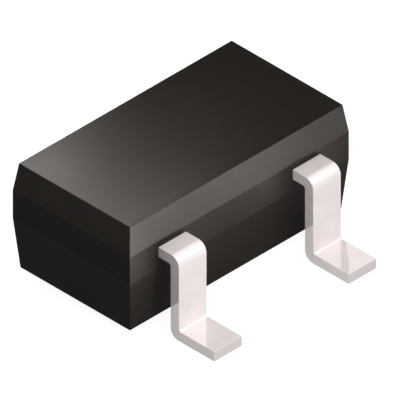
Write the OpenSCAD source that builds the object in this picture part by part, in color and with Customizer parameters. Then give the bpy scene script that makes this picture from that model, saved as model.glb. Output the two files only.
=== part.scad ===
// Voltage reference in a moulded surface mount package with three gull wing leads.
// Millimetres, +Z up. The origin lies under the middle of the body, on the plane that the feet stand on.
// X runs along the body. The side with two leads faces -Y, and the single lead faces +Y.

/* [Moulded body] */
// Length of the body at its belt
body_length = 3.10; // [2.90:0.01:3.40]
// Width of the body at its belt
body_width = 1.66; // [1.60:0.01:1.90]
// Height of the tapered part below the belt
lower_height = 0.61; // [0.45:0.01:0.80]
// Height of the upright belt that the leads come out of
belt_height = 0.335; // [0.28:0.005:0.45]
// Height of the tapered part above the belt
upper_height = 0.33; // [0.29:0.005:0.50]
// Inset of the underside from the belt, on each side
lower_inset = 0.055; // [0.02:0.005:0.10]
// Inset of the top face from the belt, on each side
upper_inset = 0.045; // [0.02:0.005:0.10]
// Height of the underside above the plane of the feet
standoff = 0.135; // [0.05:0.005:0.20]

/* [Gull wing leads] */
// Distance between the centres of the two leads on one side
lead_pitch = 1.90; // [1.80:0.01:2.00]
// Width of a lead where it is free
lead_width = 0.39; // [0.30:0.01:0.45]
// Thickness of the lead strip, as plated
lead_thickness = 0.12; // [0.08:0.005:0.16]
// Depth of a lead's top face below the top edge of the belt
lead_depth = 0.072; // [0.04:0.002:0.11]
// Distance from the belt to the outer face of a lead's riser
riser_reach = 0.29; // [0.24:0.005:0.40]
// Distance from the belt to the toe of a lead
toe_reach = 0.79; // [0.65:0.01:0.95]
// Radius inside both bends of a lead
bend_inner = 0.035; // [0.02:0.005:0.06]
// Radius outside both bends of a lead
bend_outer = 0.115; // [0.09:0.005:0.15]

/* [Inner ends of the leads] */
// Width of a bond post, along the body
post_width = 0.52; // [0.46:0.01:0.56]
// Depth of a bond post, across the body
post_depth = 0.30; // [0.24:0.01:0.34]
// Length of the neck between the belt and a bond post or the die pad's shoulder
neck_length = 0.14; // [0.12:0.01:0.18]
// Radius of the two notches that lock a neck in the moulding
notch_radius = 0.045; // [0.03:0.005:0.06]
// Length of the die pad, along the body
pad_length = 1.04; // [0.95:0.01:1.10]
// Depth of the die pad, across the body
pad_depth = 0.86; // [0.80:0.01:0.92]
// Depth of the shoulder that joins the die pad to its neck
shoulder_depth = 0.22; // [0.16:0.01:0.24]
// Corner radius of the posts and the die pad
plate_corner = 0.05; // [0.02:0.005:0.08]

/* [Die] */
// Length of the die, along the body
die_length = 0.74; // [0.60:0.01:0.80]
// Depth of the die, across the body
die_depth = 0.62; // [0.50:0.01:0.68]
// Thickness of the die
die_thickness = 0.15; // [0.10:0.005:0.16]
// Thickness of the adhesive under the die
glue_thickness = 0.02; // [0.01:0.002:0.03]
// How far the adhesive spreads past the die on each side
glue_margin = 0.03; // [0.01:0.005:0.05]

/* [Bond wires] */
// Diameter of the bond wire
wire_diameter = 0.025; // [0.018:0.001:0.032]
// Diameter of the ball at the die end of a wire
ball_diameter = 0.07; // [0.05:0.002:0.08]
// Height of that ball
ball_height = 0.018; // [0.012:0.002:0.024]
// Centre radius of the loop above the ball
loop_radius = 0.045; // [0.03:0.005:0.05]
// Thickness of the moulding that covers the loops
loop_cover = 0.10; // [0.08:0.005:0.12]
// Distance of a bond's centre from the edge of the die
bond_inset = 0.08; // [0.06:0.005:0.12]
// Diameter of the pressed stitch at the lead end of a wire
stitch_diameter = 0.065; // [0.05:0.005:0.08]
// Height of that stitch
stitch_height = 0.01; // [0.006:0.001:0.014]
// Distance of a stitch from the side of its post that faces the die
stitch_inset = 0.15; // [0.08:0.01:0.20]

/* [Hidden] */
$fn = 64;
mould_black = "#2d2b2a";
tin_plate = "#dcd9d6";
silver_glue = "#a9acb0";
silicon = "#5c6272";
gold = "#d9ad45";
half_width = body_width / 2;
belt_bottom = standoff + lower_height;
belt_top = belt_bottom + belt_height;
body_top = belt_top + upper_height;
lead_top = belt_top - lead_depth;
lead_bottom = lead_top - lead_thickness;
riser_outer = half_width + riser_reach;
toe = half_width + toe_reach;
post_outer = half_width - neck_length;
post_inner = post_outer - post_depth;
pad_outer = post_outer - shoulder_depth;
pad_middle = pad_outer - pad_depth / 2;
glue_top = lead_top + glue_thickness;
die_top = glue_top + die_thickness;
loop_top = body_top - loop_cover - wire_diameter / 2;
bond_x = die_length / 2 - bond_inset;
bond_y = die_depth / 2 - bond_inset;
post_bond_x = lead_pitch / 2 - post_width / 2 + stitch_inset;
post_bond_y = -(post_inner + post_depth / 2);
neck_bond_y = post_outer - shoulder_depth / 2;

// Upright section of the body across one axis, for a belt of the given size
module body_section(size) {
    half = size / 2;
    polygon([[-half + lower_inset, standoff], [half - lower_inset, standoff], [half, belt_bottom],
             [half, belt_top], [half - upper_inset, body_top], [-half + upper_inset, body_top],
             [-half, belt_top], [-half, belt_bottom]]);
}

// Body without pockets, where its two sections cross
module body_block() {
    intersection() {
        rotate([90, 0, 0]) linear_extrude(body_width, center = true) body_section(body_length);
        rotate([90, 0, 90]) linear_extrude(body_length, center = true) body_section(body_width);
    }
}

// Corner left between two sides that meet at a point and a circle that touches them both. The sides
// run from the point the way that side gives.
module bend_corner(point, side, radius) {
    translate(point) scale(side) difference() {
        square(radius);
        translate([radius, radius]) circle(radius);
    }
}

// Side view of a lead from its neck to its toe: outward distance against height
module lead_side() {
    riser_inner = riser_outer - lead_thickness;
    difference() {
        union() {
            translate([post_outer, lead_bottom]) square([riser_outer - post_outer, lead_thickness]);
            translate([riser_inner, 0]) square([lead_thickness, lead_top]);
            translate([riser_inner, 0]) square([toe - riser_inner, lead_thickness]);
            bend_corner([riser_inner, lead_bottom], [-1, -1], bend_inner);
            bend_corner([riser_outer, lead_thickness], [1, 1], bend_inner);
        }
        bend_corner([riser_outer, lead_top], [-1, -1], bend_outer);
        bend_corner([riser_inner, 0], [1, 1], bend_outer);
    }
}

// Plan of a plate with round corners, centred along x, from one y to another
module rounded_plate(width, y_from, y_to) {
    translate([-width / 2, y_from + plate_corner]) square([width, y_to - y_from - 2 * plate_corner]);
    translate([-width / 2 + plate_corner, y_from]) square([width - 2 * plate_corner, y_to - y_from]);
    for (x = [-1, 1] * (width / 2 - plate_corner), y = [y_from + plate_corner, y_to - plate_corner])
        translate([x, y]) circle(plate_corner);
}

// One lead that leaves the body towards +Y: its bent strip and, as children, the plan of its inner end
module lead_blank() {
    difference() {
        union() {
            rotate([90, 0, 90]) linear_extrude(lead_width, center = true) lead_side();
            translate([0, 0, lead_bottom]) linear_extrude(lead_thickness) children();
        }
        for (x = [-1, 1] * lead_width / 2)
            translate([x, half_width - neck_length / 2, lead_bottom - lead_thickness])
                cylinder(h = 3 * lead_thickness, r = notch_radius);
    }
}

// Lead of the two lead side, before it is turned and set at its place along the body
module post_lead() {
    color(tin_plate) lead_blank() rounded_plate(post_width, post_inner, post_outer);
}

module input_lead() {
    translate([-lead_pitch / 2, 0, 0]) rotate([0, 0, 180]) post_lead();
}

module output_lead() {
    translate([lead_pitch / 2, 0, 0]) rotate([0, 0, 180]) post_lead();
}

// The third lead and the die pad are one piece of strip
module ground_lead() {
    color(tin_plate) lead_blank() {
        rounded_plate(post_width, pad_outer - 2 * plate_corner, post_outer);
        rounded_plate(pad_length, pad_outer - pad_depth, pad_outer);
    }
}

module die_attach() {
    attach_size = [die_length + 2 * glue_margin, die_depth + 2 * glue_margin, glue_thickness];
    color(silver_glue) translate([-attach_size.x / 2, pad_middle - attach_size.y / 2, lead_top])
        cube(attach_size);
}

module die() {
    color(silicon) translate([-die_length / 2, pad_middle - die_depth / 2, glue_top])
        cube([die_length, die_depth, die_thickness]);
}

// Looped wire from a ball on the die to a stitch on a lead. Above the ball it bends over in an arc, and
// it runs out of the arc into a straight fall, at the slope that makes the two tangent.
module bond_wire(from_die, to_lead) {
    run = norm(to_lead - from_die);
    turn = atan2(to_lead.y - from_die.y, to_lead.x - from_die.x);
    arc_height = loop_top - loop_radius;
    fall = arc_height - lead_top;
    reach = norm([run - loop_radius, fall]);
    tangent_slope = atan2(fall, run - loop_radius) + asin(loop_radius / reach);
    slope = round(tangent_slope * 100) / 100;
    below = 2 * stitch_diameter;
    color(gold) translate(from_die) rotate([0, 0, turn]) {
        translate([0, 0, die_top]) cylinder(h = ball_height, d = ball_diameter);
        translate([0, 0, die_top]) cylinder(h = arc_height - die_top, d = wire_diameter);
        translate([loop_radius, 0, arc_height]) rotate([90, 0, 0])
            rotate_extrude(angle = 90 + slope, start = 90 - slope)
                translate([loop_radius, 0]) circle(d = wire_diameter);
        difference() {
            translate([loop_radius, 0, arc_height]) rotate([0, slope, 0])
                translate([0, 0, loop_radius]) rotate([0, 90, 0])
                    cylinder(h = sqrt(reach ^ 2 - loop_radius ^ 2), d = wire_diameter);
            translate([run - below / 2, -below / 2, lead_top - below]) cube(below);
        }
        translate([run, 0, lead_top]) cylinder(h = stitch_height, d = stitch_diameter);
    }
}

module input_bond_wire() {
    bond_wire([-bond_x, pad_middle - bond_y], [-post_bond_x, post_bond_y]);
}

module output_bond_wire() {
    bond_wire([bond_x, pad_middle - bond_y], [post_bond_x, post_bond_y]);
}

module ground_bond_wire() {
    bond_wire([0, pad_middle + bond_y], [0, neck_bond_y]);
}

// The body fills all the room around what it holds
module moulded_body() {
    color(mould_black) difference() {
        body_block();
        input_lead();
        output_lead();
        ground_lead();
        die_attach();
        die();
        input_bond_wire();
        output_bond_wire();
        ground_bond_wire();
    }
}

moulded_body();
input_lead();
output_lead();
ground_lead();
die_attach();
die();
input_bond_wire();
output_bond_wire();
ground_bond_wire();
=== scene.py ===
"""Looks of a voltage reference in a moulded package with three gull wing leads, around its frame.

Shapes are made in millimetres, from the boxes of the frame's nodes and the sizes below. Each finished
mesh is brought to metres last, so that its object sits at the origin, unturned and unscaled.
"""

import logging
import math
from dataclasses import dataclass, field
from enum import Enum

import bmesh
import bpy
from mathutils import Matrix, Vector


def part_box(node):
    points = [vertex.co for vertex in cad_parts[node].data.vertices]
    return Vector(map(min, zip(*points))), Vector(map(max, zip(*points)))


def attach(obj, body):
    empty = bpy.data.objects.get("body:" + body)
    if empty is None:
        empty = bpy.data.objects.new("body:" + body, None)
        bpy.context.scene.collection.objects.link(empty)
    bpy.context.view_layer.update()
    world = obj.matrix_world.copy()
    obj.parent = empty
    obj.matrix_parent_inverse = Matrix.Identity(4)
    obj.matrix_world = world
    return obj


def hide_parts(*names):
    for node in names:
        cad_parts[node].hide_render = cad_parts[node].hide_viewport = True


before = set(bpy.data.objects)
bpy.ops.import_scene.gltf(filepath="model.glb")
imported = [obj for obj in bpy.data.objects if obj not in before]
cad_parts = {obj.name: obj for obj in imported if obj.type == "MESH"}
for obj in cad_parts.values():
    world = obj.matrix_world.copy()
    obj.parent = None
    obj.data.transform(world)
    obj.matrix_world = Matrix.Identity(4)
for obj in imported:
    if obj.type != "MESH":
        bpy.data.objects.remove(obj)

MM = 0.001
ROOT = "root"
LOG = logging.getLogger("voltage_reference")
Socket = bpy.types.NodeSocket
# What a node's input takes: a number, the parts of a vector or colour, or the socket that feeds it
Value = float | tuple | Socket
# The numbers of a Mix node's two inputs and of its result, for each kind of value
MIX_SOCKETS = {"FLOAT": (2, 3, 0), "RGBA": (6, 7, 2)}


class Slot(Enum):
    """The record's material slots of the pieces that are formed here."""

    COMPOUND = "moulding_compound"
    TIN = "tin_plate"


class Lead(Enum):
    """The three leads, by the name of their frame node."""

    INPUT = "input_lead"
    OUTPUT = "output_lead"
    GROUND = "ground_lead"


class Held(Enum):
    """What the body holds besides the leads, by the name of its frame node."""

    GLUE = "die_attach"
    DIE = "die"
    INPUT_WIRE = "input_bond_wire"
    OUTPUT_WIRE = "output_bond_wire"
    GROUND_WIRE = "ground_bond_wire"


@dataclass
class Graph:
    """Short calls that add nodes to a node tree."""

    tree: bpy.types.NodeTree

    def add(self, kind: str, inputs: dict | None = None, **settings: object) -> bpy.types.Node:
        """Adds a node.

        Args:
            kind: The node's type.
            inputs: For an input's name or number, its value or the socket that it is linked from.
            settings: The node's own options.

        Returns:
            The node.
        """
        node = self.tree.nodes.new(kind)
        for name, value in settings.items():
            setattr(node, name, value)
        for name, value in (inputs or {}).items():
            if isinstance(value, Socket):
                self.tree.links.new(value, node.inputs[name])
            else:
                node.inputs[name].default_value = value
        return node

    def maths(self, operation: str, *values: Value) -> Socket:
        """The result of a Math node.

        Args:
            operation: What the node does.
            values: Its values, each a number or a socket.

        Returns:
            The node's output.
        """
        return self.add("ShaderNodeMath", dict(enumerate(values)), operation=operation).outputs[0]

    def point(self, x: Value = 0.0, y: Value = 0.0, z: Value = 0.0) -> Socket:
        """A vector from three parts.

        Args:
            x: Its first part, a number or a socket.
            y: Its second part.
            z: Its third part.

        Returns:
            The vector's socket.
        """
        return self.add("ShaderNodeCombineXYZ", {"X": x, "Y": y, "Z": z}).outputs[0]

    def mix(self, share: Socket, low: Value, high: Value, kind: str = "FLOAT") -> Socket:
        """A value between two others.

        Args:
            share: How far the result is from the first to the second, from 0 to 1.
            low: The first value, plain or a socket.
            high: The second value.
            kind: FLOAT for numbers, RGBA for colours.

        Returns:
            The result's socket.
        """
        first, second, result = MIX_SOCKETS[kind]
        values = {"Factor": share, first: low, second: high}
        return self.add("ShaderNodeMix", values, data_type=kind).outputs[result]


class MeshRecipe(Graph):
    """A Geometry Nodes tree with named inputs, whose result becomes a plain mesh."""

    def __init__(self, name: str, sizes: list[str]) -> None:
        """Makes the tree with its inputs.

        Args:
            name: The tree's name.
            sizes: The names of its size inputs.
        """
        super().__init__(bpy.data.node_groups.new(name, "GeometryNodeTree"))
        face = self.tree.interface
        for size in sizes:
            face.new_socket(name=size, in_out="INPUT", socket_type="NodeSocketFloat")
        face.new_socket(name="Material", in_out="INPUT", socket_type="NodeSocketMaterial")
        face.new_socket(name="Geometry", in_out="OUTPUT", socket_type="NodeSocketGeometry")
        self.given = self.add("NodeGroupInput").outputs

    def close(self, geometry: Socket) -> None:
        """Ends the tree: instances are made real and dressed.

        Args:
            geometry: What the tree has made.
        """
        real = self.add("GeometryNodeRealizeInstances", {"Geometry": geometry})
        dressed = self.add("GeometryNodeSetMaterial",
                           {"Geometry": real.outputs[0], "Material": self.given["Material"]})
        self.add("NodeGroupOutput", {"Geometry": dressed.outputs[0]})

    def apply_to(self, piece: bpy.types.Object, values: dict) -> None:
        """Gives a piece this tree as a modifier, with its inputs set.

        Args:
            piece: The object.
            values: A value for each input, by name.
        """
        modifier = piece.modifiers.new(self.tree.name, "NODES")
        modifier.node_group = self.tree
        for item in self.tree.interface.items_tree:
            if item.in_out == "INPUT":
                modifier[item.identifier] = values[item.name]


class Piece:
    """A mesh object in the making, in millimetres, with calls that finish it.

    Points nearer than WELD are one. Faces that meet under FLAT degrees are joined. A cut takes points
    nearer than ON_CUT as on it.
    """

    WELD = 1e-4
    FLAT = 0.2
    ON_CUT = 1e-6

    def __init__(self, name: str) -> None:
        """Makes an empty mesh object of that name."""
        self.shape = bpy.data.objects.new(name, bpy.data.meshes.new(name))
        bpy.context.scene.collection.objects.link(self.shape)

    def settle(self) -> None:
        """Turns the modifiers' result into the object's own plain mesh."""
        bpy.context.view_layer.update()
        graph = bpy.context.evaluated_depsgraph_get()
        old = self.shape.data
        made = bpy.data.meshes.new_from_object(self.shape.evaluated_get(graph))
        self.shape.modifiers.clear()
        self.shape.data = made
        bpy.data.meshes.remove(old)
        made.name = self.shape.name
        worn = [material for material in made.materials if material]
        made.materials.clear()
        for material in worn[:1]:
            made.materials.append(material)
        made.polygons.foreach_set("material_index", [0] * len(made.polygons))

    def tidy(self) -> None:
        """Welds the mesh, joins its coplanar faces and turns its faces outwards."""
        work = bmesh.new()
        work.from_mesh(self.shape.data)
        bmesh.ops.remove_doubles(work, verts=work.verts, dist=self.WELD)
        bmesh.ops.dissolve_limit(work, angle_limit=math.radians(self.FLAT),
                                 verts=work.verts, edges=work.edges)
        bmesh.ops.recalc_face_normals(work, faces=work.faces)
        work.to_mesh(self.shape.data)
        work.free()

    def round_edges(self, width: float, segments: int, over: float, beyond: float = 0.0) -> None:
        """Rounds the sharp edges that lie beyond a distance across the body.

        Args:
            width: How far the rounding reaches from an edge.
            segments: Faces across the rounding.
            over: The angle in degrees over which an edge is sharp.
            beyond: The distance from the middle of the body, along Y, where the rounding starts.
        """
        work = bmesh.new()
        work.from_mesh(self.shape.data)
        for side in (-beyond, beyond) if beyond else ():
            bmesh.ops.bisect_plane(work, geom=work.verts[:] + work.edges[:] + work.faces[:],
                                   plane_co=(0, side, 0), plane_no=(0, 1, 0), dist=self.ON_CUT)
        share = work.edges.layers.float.new("bevel_weight_edge")
        for edge in work.edges:
            outside = min(abs(end.co.y) for end in edge.verts) > beyond - self.WELD
            edge[share] = float(outside and edge.calc_face_angle(0.0) > math.radians(over))
        work.to_mesh(self.shape.data)
        work.free()
        bevel = self.shape.modifiers.new("edges", "BEVEL")
        bevel.width = width
        bevel.segments = segments
        bevel.limit_method = "WEIGHT"
        bevel.use_clamp_overlap = False
        self.settle()

    def smooth(self, over: float) -> None:
        """Shades the mesh smooth but for its sharp edges, led by its large faces.

        Args:
            over: The angle in degrees over which an edge is sharp.
        """
        self.shape.data.shade_smooth()
        self.shape.data.set_sharp_from_angle(angle=math.radians(over))
        weighted = self.shape.modifiers.new("normals", "WEIGHTED_NORMAL")
        weighted.keep_sharp = True
        self.settle()

    def deliver(self, slot: Slot, *stands_for: str) -> None:
        """Brings the mesh to metres and hands the piece to the frame.

        Args:
            slot: The record's material slot; not used.
            stands_for: The frame nodes that the piece replaces.
        """
        self.shape.data.transform(Matrix.Scale(MM, 4))
        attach(self.shape, ROOT)
        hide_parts(*stands_for)
        work = bmesh.new()
        work.from_mesh(self.shape.data)
        open_edges = sum(not edge.is_manifold for edge in work.edges)
        work.free()
        faces = len(self.shape.data.polygons)
        LOG.info("%s: %d faces, %d open edges", self.shape.name, faces, open_edges)


@dataclass(frozen=True)
class Finish:
    """A procedural material on Object coordinates. Its colour, gloss and relief vary over the surface.

    Each range gives the values at the low and at the high end of a noise, and noise_ends says which of
    its values, from 0 to 1, count as those ends. Grains are in millimetres.
    """

    name: str
    colours: tuple = ((0.5, 0.5, 0.5, 1), (0.5, 0.5, 0.5, 1))
    colour_grain: float = 0.1
    roughness: tuple = (0.5, 0.5)
    gloss_grain: float = 0.1
    relief_grain: float = 0.02
    relief_depth: float = 0.0003
    relief_share: float = 0.2
    metallic: float = 0.0
    noise_ends: tuple = (0.3, 0.7)

    def material(self) -> bpy.types.Material:
        """Makes the material, the first time that it is asked for.

        Returns:
            The material.
        """
        made = bpy.data.materials.get(self.name)
        if made is None:
            made = bpy.data.materials.new(self.name)
            made.use_nodes = True
            made.node_tree.nodes.clear()
            graph = Graph(made.node_tree)
            shader = graph.add("ShaderNodeBsdfPrincipled", {
                "Base Color": self.colour(graph),
                "Roughness": self.spread(graph, self.gloss_grain, self.roughness),
                "Normal": self.relief(graph)})
            shader.inputs["Metallic"].default_value = self.metallic
            self.adjust(shader)
            graph.add("ShaderNodeOutputMaterial", {"Surface": shader.outputs[0]})
        return made

    def adjust(self, shader: bpy.types.Node) -> None:
        """Sets what this finish alone asks of the shader."""

    def colour(self, graph: Graph) -> Socket:
        """The colour over the surface."""
        return self.spread(graph, self.colour_grain, self.colours, "RGBA")

    def relief(self, graph: Graph) -> Socket:
        """The normal of the surface with its fine relief.

        Args:
            graph: The material's nodes.

        Returns:
            The normal's socket.
        """
        return graph.add("ShaderNodeBump", {
            "Height": self.noise(graph, self.relief_grain), "Distance": self.relief_depth * MM,
            "Strength": self.relief_share}).outputs[0]

    def noise(self, graph: Graph, grain: float) -> Socket:
        """A noise value over the surface.

        Args:
            graph: The material's nodes.
            grain: The size of the noise's features, in millimetres.

        Returns:
            The value's socket, from 0 to 1.
        """
        place = graph.add("ShaderNodeTexCoord").outputs["Object"]
        noise = graph.add("ShaderNodeTexNoise", {"Vector": place, "Scale": 1 / (grain * MM)})
        return noise.outputs["Fac"]

    def spread(self, graph: Graph, grain: float, ends: tuple, kind: str = "FLOAT") -> Socket:
        """A value that varies over the surface with a noise.

        Args:
            graph: The material's nodes.
            grain: The size of the noise's features, in millimetres.
            ends: The values at the noise's low and at its high end.
            kind: FLOAT for numbers, RGBA for colours.

        Returns:
            The value's socket.
        """
        low_end, high_end = self.noise_ends
        share = graph.add("ShaderNodeMapRange", {
            "Value": self.noise(graph, grain), "From Min": low_end, "From Max": high_end})
        return graph.mix(share.outputs[0], *ends, kind)


@dataclass(frozen=True)
class MouldedEpoxy(Finish):
    """Black moulding compound: satin, with the fine grain of its filler."""

    colours: tuple = ((0.0060, 0.0042, 0.0027, 1), (0.0080, 0.0056, 0.0036, 1))
    colour_grain: float = 0.03
    roughness: tuple = (0.37, 0.41)
    gloss_grain: float = 0.5
    relief_grain: float = 0.03
    relief_depth: float = 0.0006
    specular: float = 0.0225
    tint: tuple = (1.0, 0.90, 0.83, 1)

    def adjust(self, shader: bpy.types.Node) -> None:
        """Gives the compound its weak, warm gloss."""
        shader.inputs["Specular IOR Level"].default_value = self.specular
        shader.inputs["Specular Tint"].default_value = self.tint


@dataclass(frozen=True)
class MatteTin(Finish):
    """Tin plating: pale and softly bright, with a crystal grain.

    Its toe end faces carry painted shade: a darker tin colour past the toe's distance across the body,
    less a skin.
    """

    colours: tuple = ((0.83, 0.76, 0.75, 1), (0.88, 0.81, 0.80, 1))
    colour_grain: float = 0.2
    roughness: tuple = (0.04, 0.07)
    gloss_grain: float = 0.02
    relief_share: float = 0.15
    metallic: float = 0.15
    toe: float = 1.62
    # Painted shade: a darker tin colour for the toe end faces
    toe_painted_shade: tuple = (0.71, 0.64, 0.63, 1)
    skin: float = 0.0005

    def colour(self, graph: Graph) -> Socket:
        """The plating's colour, and a darker colour of painted shade where a lead reaches its toe.

        Args:
            graph: The material's nodes.

        Returns:
            The colour's socket.
        """
        plated = super().colour(graph)
        place = graph.add("ShaderNodeTexCoord").outputs["Object"]
        across = graph.maths("ABSOLUTE", graph.add("ShaderNodeSeparateXYZ", {0: place}).outputs["Y"])
        at_toe = graph.maths("GREATER_THAN", across, (self.toe - self.skin) * MM)
        # Painted shade on the toe end faces
        return graph.mix(at_toe, plated, self.toe_painted_shade, "RGBA")


@dataclass(frozen=True)
class SilverAdhesive(Finish):
    """Adhesive under the die: grey, with silver flakes that catch the light."""

    colours: tuple = ((0.34, 0.35, 0.36, 1), (0.64, 0.64, 0.64, 1))
    colour_grain: float = 0.012
    roughness: tuple = (0.35, 0.60)
    gloss_grain: float = 0.012
    relief_grain: float = 0.012
    relief_depth: float = 0.002
    relief_share: float = 0.5
    metallic: float = 0.7


@dataclass(frozen=True)
class PolishedSilicon(Finish):
    """The die: dark blue grey and smooth, a little uneven where it was sawn."""

    colours: tuple = ((0.060, 0.070, 0.105, 1), (0.085, 0.095, 0.135, 1))
    colour_grain: float = 0.15
    roughness: tuple = (0.10, 0.22)
    gloss_grain: float = 0.05
    relief_grain: float = 0.01
    relief_depth: float = 0.0004
    metallic: float = 0.4


@dataclass(frozen=True)
class DrawnGold(Finish):
    """Drawn gold wire: warm and bright, with faint marks."""

    colours: tuple = ((0.86, 0.57, 0.19, 1), (0.94, 0.69, 0.28, 1))
    colour_grain: float = 0.05
    roughness: tuple = (0.14, 0.26)
    gloss_grain: float = 0.01
    relief_grain: float = 0.005
    relief_depth: float = 0.0002
    metallic: float = 1.0


class LeadTree(MeshRecipe):
    """The tree that forms one lead: a bent strip, the plates at its inner end and its two notches.

    The strip reaches OVERLAP into its post. Points of a slab nearer than SEAM are one. A notch's
    cutter is NOTCH_CUT times as high as the strip is thick, half of it above the strip's underside.
    """

    SIZES = ["Width", "Thickness", "Top", "Neck", "Riser", "Toe", "Inner Bend", "Outer Bend",
             "Post Width", "Post From", "Post To", "Pad Width", "Pad From", "Pad To", "Corner",
             "Notch", "Notch Place", "Turn", "Along"]
    OVERLAP = 0.01
    SEAM = 1e-5
    NOTCH_CUT = 4.0
    BEND_FACES = 14
    CORNER_FACES = 8
    NOTCH_FACES = 40

    def __init__(self) -> None:
        """Builds the tree."""
        super().__init__("lead", self.SIZES)
        given = self.given
        bottom = self.maths("SUBTRACT", given["Top"], given["Thickness"])
        strip = self.strip(bottom)
        post = self.plate("Post Width", "Post From", "Post To", bottom)
        pad = self.plate("Pad Width", "Pad From", "Pad To", bottom)
        whole = self.add("GeometryNodeMeshBoolean", operation="UNION", solver="EXACT")
        for part in (strip, post, pad):
            self.tree.links.new(part, whole.inputs["Mesh 2"])
        cut = self.add("GeometryNodeMeshBoolean", {0: whole.outputs[0], 1: self.notches(bottom)},
                       operation="DIFFERENCE", solver="EXACT")
        placed = self.add("GeometryNodeTransform", {
            "Geometry": cut.outputs[0], "Rotation": self.point(z=given["Turn"]),
            "Translation": self.point(x=given["Along"])})
        self.close(placed.outputs[0])

    def slab(self, outline: Socket, height: Socket) -> Socket:
        """A closed solid over a flat outline.

        Args:
            outline: The outline, a curve in the XY plane.
            height: The solid's height over that plane.

        Returns:
            The solid.
        """
        face = self.add("GeometryNodeFillCurve", {"Curve": outline}, mode="NGONS").outputs[0]
        upright = (0, 0, 1)
        sides = self.add("GeometryNodeExtrudeMesh", {
            "Mesh": face, "Offset": upright, "Offset Scale": height, "Individual": False}).outputs[0]
        under = self.add("GeometryNodeFlipFaces", {"Mesh": face}).outputs[0]
        both = self.add("GeometryNodeJoinGeometry")
        for part in (sides, under):
            self.tree.links.new(part, both.inputs[0])
        return self.add("GeometryNodeMergeByDistance", {
            "Geometry": both.outputs[0], "Distance": self.SEAM}).outputs[0]

    def strip(self, bottom: Socket) -> Socket:
        """The bent strip, from its neck to its toe.

        Args:
            bottom: The height of the underside of the strip where it leaves the body.

        Returns:
            The strip.
        """
        given = self.given
        neck = self.maths("SUBTRACT", given["Neck"], self.OVERLAP)
        inside = self.maths("SUBTRACT", given["Riser"], given["Thickness"])
        corners = [(neck, bottom, 0.0), (neck, given["Top"], 0.0),
                   (given["Riser"], given["Top"], given["Outer Bend"]),
                   (given["Riser"], given["Thickness"], given["Inner Bend"]),
                   (given["Toe"], given["Thickness"], 0.0), (given["Toe"], 0.0, 0.0),
                   (inside, 0.0, given["Outer Bend"]), (inside, bottom, given["Inner Bend"])]
        index = self.add("GeometryNodeInputIndex").outputs[0]
        places = self.add("GeometryNodeIndexSwitch", {"Index": index}, data_type="VECTOR")
        radii = self.add("GeometryNodeIndexSwitch", {"Index": index}, data_type="FLOAT")
        for number, (out, up, radius) in enumerate(corners):
            for node in (places, radii):
                if number > 1:
                    node.index_switch_items.new()
            self.tree.links.new(self.point(out, up), places.inputs[number + 1])
            if isinstance(radius, Socket):
                self.tree.links.new(radius, radii.inputs[number + 1])
        line = self.add("GeometryNodeMeshLine", {"Count": len(corners)}).outputs[0]
        open_curve = self.add("GeometryNodeMeshToCurve", {"Mesh": line}).outputs[0]
        shaped = self.add("GeometryNodeSetPosition", {
            "Geometry": open_curve, "Position": places.outputs[0]}).outputs[0]
        ring = self.add("GeometryNodeSetSplineCyclic", {
            "Geometry": shaped, "Cyclic": True}).outputs[0]
        bent = self.add("GeometryNodeFilletCurve", {
            "Curve": ring, "Count": self.BEND_FACES, "Radius": radii.outputs[0]}, mode="POLY")
        flat = self.slab(bent.outputs[0], given["Width"])
        half = self.maths("MULTIPLY", given["Width"], -0.5)
        stood_up = (math.pi / 2, 0, math.pi / 2)
        return self.add("GeometryNodeTransform", {
            "Geometry": flat, "Rotation": stood_up, "Translation": self.point(x=half)}).outputs[0]

    def plate(self, width: str, start: str, end: str, bottom: Socket) -> Socket:
        """A flat plate with round corners.

        Args:
            width: The input for its width along the body.
            start: The input for where it starts across the body.
            end: The input for where it ends.
            bottom: The height of its underside.

        Returns:
            The plate.
        """
        given = self.given
        depth = self.maths("SUBTRACT", given[end], given[start])
        middle = self.maths("MULTIPLY", self.maths("ADD", given[end], given[start]), 0.5)
        outline = self.add("GeometryNodeCurvePrimitiveQuadrilateral",
                           {"Width": given[width], "Height": depth}).outputs[0]
        rounded = self.add("GeometryNodeFilletCurve", {
            "Curve": outline, "Count": self.CORNER_FACES, "Radius": given["Corner"]}, mode="POLY")
        plate = self.slab(rounded.outputs[0], given["Thickness"])
        return self.add("GeometryNodeTransform", {
            "Geometry": plate, "Translation": self.point(y=middle, z=bottom)}).outputs[0]

    def notches(self, bottom: Socket) -> Socket:
        """The two round cutters at the sides of the neck.

        Args:
            bottom: The height of the underside of the neck.

        Returns:
            The cutters.
        """
        given = self.given
        half = self.maths("MULTIPLY", given["Width"], 0.5)
        ends = [self.point(self.maths("MULTIPLY", half, side), given["Notch Place"], bottom)
                for side in (-1, 1)]
        pair = self.add("GeometryNodeMeshLine", {"Count": 2, "Start Location": ends[0], 3: ends[1]},
                        mode="END_POINTS").outputs[0]
        tool = self.add("GeometryNodeMeshCylinder", {
            "Vertices": self.NOTCH_FACES, "Radius": given["Notch"],
            "Depth": self.maths("MULTIPLY", given["Thickness"], self.NOTCH_CUT)}).outputs[0]
        set_out = self.add("GeometryNodeInstanceOnPoints", {"Points": pair, "Instance": tool})
        return self.add("GeometryNodeRealizeInstances", {"Geometry": set_out.outputs[0]}).outputs[0]


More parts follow.
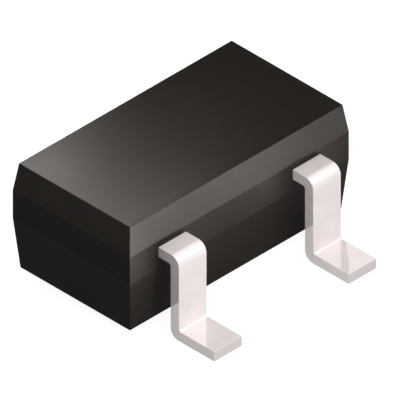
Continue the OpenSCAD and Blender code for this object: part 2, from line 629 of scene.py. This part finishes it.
@dataclass
class Leads:
    """The three leads, each with its inner end, in millimetres.

    Their edges are rounded outside the body and as far inside it as cover says.
    """

    width: float = 0.39
    thickness: float = 0.12
    riser_reach: float = 0.29
    inner_bend: float = 0.035
    outer_bend: float = 0.115
    neck: float = 0.14
    shoulder: float = 0.22
    post_width: float = 0.52
    corner: float = 0.05
    notch: float = 0.045
    edge: float = 0.004
    edge_faces: int = 3
    sharp_angle: float = 40
    smooth_angle: float = 25
    cover: float = 0.01

    def values(self, lead: Lead) -> dict:
        """The tree's inputs for one lead, from its node's box and the body's.

        Args:
            lead: Which lead.

        Returns:
            A value for each input, by name.
        """
        low, high = (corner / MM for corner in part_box(lead.value))
        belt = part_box("moulded_body")[1].y / MM
        on_back = lead is Lead.GROUND
        toe = high.y if on_back else -low.y
        post_to = belt - self.neck
        if on_back:
            post_from = post_to - self.shoulder - 2 * self.corner
            pad = (high.x - low.x, low.y, post_to - self.shoulder)
        else:
            post_from = -high.y
            pad = (self.post_width, post_from, post_to)
        return {"Width": self.width, "Thickness": self.thickness, "Top": high.z, "Neck": post_to,
                "Riser": belt + self.riser_reach, "Toe": toe,
                "Inner Bend": self.inner_bend, "Outer Bend": self.outer_bend,
                "Post Width": self.post_width, "Post From": post_from, "Post To": post_to,
                "Pad Width": pad[0], "Pad From": pad[1], "Pad To": pad[2], "Corner": self.corner,
                "Notch": self.notch, "Notch Place": belt - self.neck / 2,
                "Turn": 0.0 if on_back else math.pi, "Along": (low.x + high.x) / 2,
                "Material": MatteTin("tin_plate_matte", toe=toe).material()}

    def build(self) -> list[Piece]:
        """Forms the three leads.

        Returns:
            The leads, still in millimetres.
        """
        tree = LeadTree()
        pieces = []
        for lead in Lead:
            piece = Piece("tinned_" + lead.value)
            tree.apply_to(piece.shape, self.values(lead))
            piece.settle()
            piece.tidy()
            rounded_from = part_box("moulded_body")[1].y / MM - self.cover
            piece.round_edges(self.edge, self.edge_faces, self.sharp_angle, rounded_from)
            piece.smooth(self.smooth_angle)
            pieces.append(piece)
        return pieces


class BlockTree(MeshRecipe):
    """The tree that forms the body's block: rectangular sections, joined from the bottom up.

    It starts from a cube from -1 to 1, whose points go to the height and size of their level.
    """

    LEVELS = ("Underside", "Belt Bottom", "Belt Top", "Top")
    SIZES = ["Length", "Width", *LEVELS, "Lower Inset", "Upper Inset"]

    def __init__(self) -> None:
        """Builds the tree."""
        super().__init__("block", self.SIZES)
        given = self.given
        levels = len(self.LEVELS)
        cube = self.add("GeometryNodeMeshCube", {"Size": (2, 2, 2), "Vertices Z": levels})
        position = self.add("GeometryNodeInputPosition").outputs[0]
        place = self.add("ShaderNodeSeparateXYZ", {0: position})
        step = self.maths("MULTIPLY", self.maths("ADD", place.outputs["Z"], 1.0), (levels - 1) / 2)
        level = self.maths("ROUND", step)
        heights = self.add("GeometryNodeIndexSwitch", {"Index": level}, data_type="FLOAT")
        insets = self.add("GeometryNodeIndexSwitch", {"Index": level}, data_type="FLOAT")
        for number, name in enumerate(self.LEVELS):
            for node in (heights, insets):
                if number > 1:
                    node.index_switch_items.new()
            self.tree.links.new(given[name], heights.inputs[number + 1])
        self.tree.links.new(given["Lower Inset"], insets.inputs[1])
        self.tree.links.new(given["Upper Inset"], insets.inputs[levels])
        half = [self.maths("SUBTRACT", self.maths("MULTIPLY", given[size], 0.5), insets.outputs[0])
                for size in ("Length", "Width")]
        moved = self.point(self.maths("MULTIPLY", place.outputs["X"], half[0]),
                           self.maths("MULTIPLY", place.outputs["Y"], half[1]), heights.outputs[0])
        block = self.add("GeometryNodeSetPosition", {
            "Geometry": cube.outputs[0], "Position": moved})
        self.close(block.outputs[0])


@dataclass
class MouldedBody:
    """The moulded body, with a pocket for all that it holds, in millimetres.

    What is kept from the frame is cut out by pocket_scale larger, so that pockets that meet run
    into each other.
    """

    lower_inset: float = 0.055
    upper_inset: float = 0.045
    lower_height: float = 0.61
    belt_height: float = 0.335
    edge: float = 0.003
    edge_faces: int = 3
    sharp_angle: float = 30
    pocket_scale: float = 1.001
    finish: Finish = field(default_factory=lambda: MouldedEpoxy("epoxy_black_satin"))

    def cutter(self, node: str) -> bpy.types.Object:
        """A welded copy of a frame node, a trace larger and in millimetres.

        Args:
            node: The frame node's name.

        Returns:
            The copy.
        """
        middle = sum(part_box(node), Vector()) / 2
        copy = Piece("cutter_" + node)
        copy.shape.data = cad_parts[node].data.copy()
        grown = Matrix.Scale(self.pocket_scale / MM, 4)
        copy.shape.data.transform(Matrix.Translation(middle / MM) @ grown @ Matrix.Translation(-middle))
        copy.tidy()
        return copy.shape

    def build(self, leads: list[Piece]) -> Piece:
        """Forms the body round the leads.

        Args:
            leads: The leads, in millimetres.

        Returns:
            The body, still in millimetres.
        """
        low, high = (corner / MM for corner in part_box("moulded_body"))
        belt = low.z + self.lower_height
        body = Piece("epoxy_body")
        BlockTree().apply_to(body.shape, {
            "Length": high.x - low.x, "Width": high.y - low.y,
            "Underside": low.z, "Belt Bottom": belt, "Belt Top": belt + self.belt_height, "Top": high.z,
            "Lower Inset": self.lower_inset, "Upper Inset": self.upper_inset,
            "Material": self.finish.material()})
        body.settle()
        body.tidy()
        body.round_edges(self.edge, self.edge_faces, self.sharp_angle)
        copies = [self.cutter(part.value) for part in Held]
        tools = bpy.data.collections.new("cutters")
        for tool in [lead.shape for lead in leads] + copies:
            tools.objects.link(tool)
        cut = body.shape.modifiers.new("pockets", "BOOLEAN")
        cut.operation = "DIFFERENCE"
        cut.solver = "EXACT"
        cut.operand_type = "COLLECTION"
        cut.collection = tools
        body.settle()
        for copy in copies:
            bpy.data.objects.remove(copy)
        bpy.data.collections.remove(tools)
        body.shape.data.materials.clear()
        body.shape.data.materials.append(self.finish.material())
        body.shape.data.shade_flat()
        return body


@dataclass
class BondedDie:
    """The die on its adhesive, with its wires: the frame's own parts, which get their finish here."""

    finishes: dict = field(default_factory=lambda: {
        Held.GLUE: SilverAdhesive("adhesive_silver_filled"),
        Held.DIE: PolishedSilicon("silicon_polished"),
        Held.INPUT_WIRE: DrawnGold("gold_drawn"),
        Held.OUTPUT_WIRE: DrawnGold("gold_drawn"),
        Held.GROUND_WIRE: DrawnGold("gold_drawn")})

    def dress(self) -> None:
        """Gives each of the frame's own parts its finish."""
        for part, finish in self.finishes.items():
            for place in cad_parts[part.value].material_slots:
                place.material = finish.material()
            LOG.info("%s: kept from the frame, in %s", part.value, finish.name)


@dataclass(frozen=True)
class Softbox:
    """A rectangular lamp, in millimetres, whose radiance is how white it looks: 1 is white."""

    name: str
    centre: tuple
    aim: tuple
    size: tuple
    radiance: float
    in_gloss: bool = True

    def build(self) -> bpy.types.Object:
        """Hangs the lamp, out of the camera's sight.

        Returns:
            The lamp's object.
        """
        lamp = bpy.data.lights.new(self.name, "AREA")
        lamp.shape = "RECTANGLE"
        lamp.size, lamp.size_y = (side * MM for side in self.size)
        lamp.energy = self.radiance * math.pi * lamp.size * lamp.size_y
        hung = bpy.data.objects.new(self.name, lamp)
        hung.location = Vector(self.centre) * MM
        beam = Vector(self.aim) - Vector(self.centre)
        hung.rotation_euler = beam.to_track_quat("-Z", "Y").to_euler()
        hung.visible_camera = False
        hung.visible_glossy = self.in_gloss
        bpy.context.scene.collection.objects.link(hung)
        return hung


@dataclass(frozen=True)
class GlossCard(Softbox):
    """A small bright card that shows only in the gloss of one piece, such as black compound.

    With shaded_by_all off, nothing but that piece blocks its light.
    """

    piece: str = "epoxy_body"
    shaded_by_all: bool = True

    def build(self) -> bpy.types.Object:
        """Hangs the card and links it to its piece.

        Returns:
            The card's object.
        """
        hung = super().build()
        lit = bpy.data.collections.get(self.piece + "_gloss")
        if lit is None:
            lit = bpy.data.collections.new(self.piece + "_gloss")
            lit.objects.link(bpy.data.objects[self.piece])
        hung.light_linking.receiver_collection = lit
        if not self.shaded_by_all:
            hung.light_linking.blocker_collection = lit
        hung.visible_diffuse = False
        return hung


@dataclass
class Studio:
    """Floor, world, lamps and camera, in millimetres.

    The gloss cards are the bright things that the black compound mirrors. The softboxes that light the
    side with two leads aim at near_side.
    """

    floor_side: float = 400
    floor_grey: float = 0.3
    floor_white: float = 0.92
    sky: float = 0.12
    near_side: tuple = (0.0, -0.9, 0.6)
    softboxes: tuple = (
        Softbox("top_softbox", (0.5, -1.5, 6.0), near_side, (3.2, 3.2), 2.0, in_gloss=False),
        Softbox("front_softbox", (-1.0, -5.0, 3.6), near_side, (4.0, 4.0), 3.85),
        Softbox("right_softbox", (2.6, -4.0, 4.0), near_side, (5.0, 3.8), 1.2),
        Softbox("left_softbox", (-4.5, -0.5, 4.5), near_side, (3.2, 3.2), 2.1),
        Softbox("back_softbox", (0.6, 4.6, 3.6), (0.0, 0.9, 0.6), (3.2, 3.2), 3.0),
        GlossCard("top_far_card", (0.5, 3.0, 3.9), (-0.8, 0.1, 1.2), (1.4, 1.4), 75.0),
        GlossCard("top_near_card", (0.5, 1.0, 3.9), (-0.8, 0.1, 1.2), (1.4, 1.4), 36.0),
        GlossCard("top_right_card", (3.1, 1.4, 3.9), (0.8, -0.2, 1.2), (3.0, 2.4), 0.9),
        GlossCard("front_card", (1.3, -3.2, 0.1), (1.3, -0.8, 1.1), (3.0, 0.7), 111.0),
        GlossCard("left_card", (-0.7, -2.7, 0.1), (-0.7, -0.8, 1.1), (1.0, 0.7), 105.0,
                  shaded_by_all=False),
        GlossCard("left_shaded_card", (-1.0, -2.7, 0.1), (-1.0, -0.8, 1.1), (0.5, 0.6), 780.0),
        GlossCard("right_card", (3.3, -2.7, 0.1), (3.3, -0.8, 1.1), (1.0, 0.7), 46.0,
                  shaded_by_all=False),
        GlossCard("low_card", (1.1, -2.2, 0.1), (1.1, -0.8, 1.1), (1.4, 0.4), 10.0,
                  shaded_by_all=False),
        GlossCard("stub_card", (1.7, -1.8, 0.1), (1.7, -0.8, 1.1), (0.6, 0.4), 36.0,
                  shaded_by_all=False),
        GlossCard("end_card", (-3.7, 1.8, 0.1), (-1.5, 1.8, 1.2), (3.0, 0.5), 11.0),
        GlossCard("back_card", (0.5, 3.0, 0.1), (0.5, 0.8, 1.1), (3.6, 0.7), 60.0),
        GlossCard("right_end_card", (3.7, 0.0, 0.1), (1.5, 0.0, 1.2), (4.0, 0.5), 30.0))
    camera_direction: tuple = (-1.0, -1.0, 1.0)
    photo_centre: tuple = (0.1359, -0.1359, 0.6003)
    photo_width: float = 4.0012
    camera_distance: float = 30.0
    camera_reach: tuple = (1.0, 1000.0)

    def build(self) -> None:
        """Sets the studio up."""
        self.lay_floor()
        self.light_world()
        for softbox in self.softboxes:
            softbox.build()
        self.place_camera()
        bpy.context.scene.view_settings.view_transform = "Standard"

    def directly_seen(self, graph: Graph) -> Socket:
        """One for what the camera sees, by itself, in a mirror or through glass, and zero for light.

        Args:
            graph: The nodes of the floor's material or of the world.

        Returns:
            The socket with the one or the zero.
        """
        ray = graph.add("ShaderNodeLightPath").outputs
        mirrored = graph.maths("MAXIMUM", ray["Is Glossy Ray"], ray["Is Transmission Ray"])
        return graph.maths("MAXIMUM", ray["Is Camera Ray"], mirrored)

    def lay_floor(self) -> None:
        """Lays a plain pale floor that the camera sees as white, but for the object's shadow."""
        work = bmesh.new()
        bmesh.ops.create_grid(work, x_segments=1, y_segments=1, size=self.floor_side * MM / 2)
        sheet = bpy.data.meshes.new("floor")
        work.to_mesh(sheet)
        work.free()
        floor = bpy.data.objects.new("floor", sheet)
        bpy.context.scene.collection.objects.link(floor)
        material = bpy.data.materials.new("floor_pale")
        material.use_nodes = True
        material.node_tree.nodes.clear()
        graph = Graph(material.node_tree)
        glow = graph.maths("MULTIPLY", self.directly_seen(graph), self.floor_white)
        grey = (self.floor_grey, self.floor_grey, self.floor_grey, 1)
        diffuse = graph.add("ShaderNodeBsdfDiffuse", {"Color": grey}).outputs[0]
        white = graph.add("ShaderNodeEmission", {"Strength": glow}).outputs[0]
        both = graph.add("ShaderNodeAddShader", {0: diffuse, 1: white}).outputs[0]
        graph.add("ShaderNodeOutputMaterial", {"Surface": both})
        material.cycles.emission_sampling = "NONE"
        sheet.materials.append(material)

    def light_world(self) -> None:
        """Gives the world an even light, which the camera and mirroring surfaces see as white."""
        world = bpy.data.worlds.new("studio")
        world.use_nodes = True
        world.node_tree.nodes.clear()
        graph = Graph(world.node_tree)
        strength = graph.maths("MULTIPLY_ADD", self.directly_seen(graph), 1 - self.sky, self.sky)
        light = graph.add("ShaderNodeBackground", {"Color": (1, 1, 1, 1), "Strength": strength})
        graph.add("ShaderNodeOutputWorld", {"Surface": light.outputs[0]})
        world.cycles.sampling_method = "NONE"
        bpy.context.scene.world = world

    def place_camera(self) -> None:
        """Sets the camera at the photograph's angle and frame, without perspective."""
        back = Vector(self.camera_direction).normalized()
        lens = bpy.data.cameras.new("camera")
        lens.type = "ORTHO"
        lens.ortho_scale = self.photo_width * MM
        lens.clip_start, lens.clip_end = (distance * MM for distance in self.camera_reach)
        camera = bpy.data.objects.new("camera", lens)
        camera.location = (Vector(self.photo_centre) + back * self.camera_distance) * MM
        camera.rotation_euler = (-back).to_track_quat("-Z", "Y").to_euler()
        bpy.context.scene.collection.objects.link(camera)
        bpy.context.scene.camera = camera


def main() -> None:
    """Builds the sub-assemblies and the studio."""
    logging.basicConfig(level=logging.INFO, format="%(message)s")
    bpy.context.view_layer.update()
    leads = Leads().build()
    body = MouldedBody().build(leads)
    for lead, piece in zip(Lead, leads):
        piece.deliver(Slot.TIN, lead.value)
    body.deliver(Slot.COMPOUND, "moulded_body")
    BondedDie().dress()
    Studio().build()


if __name__ == "__main__":
    main()
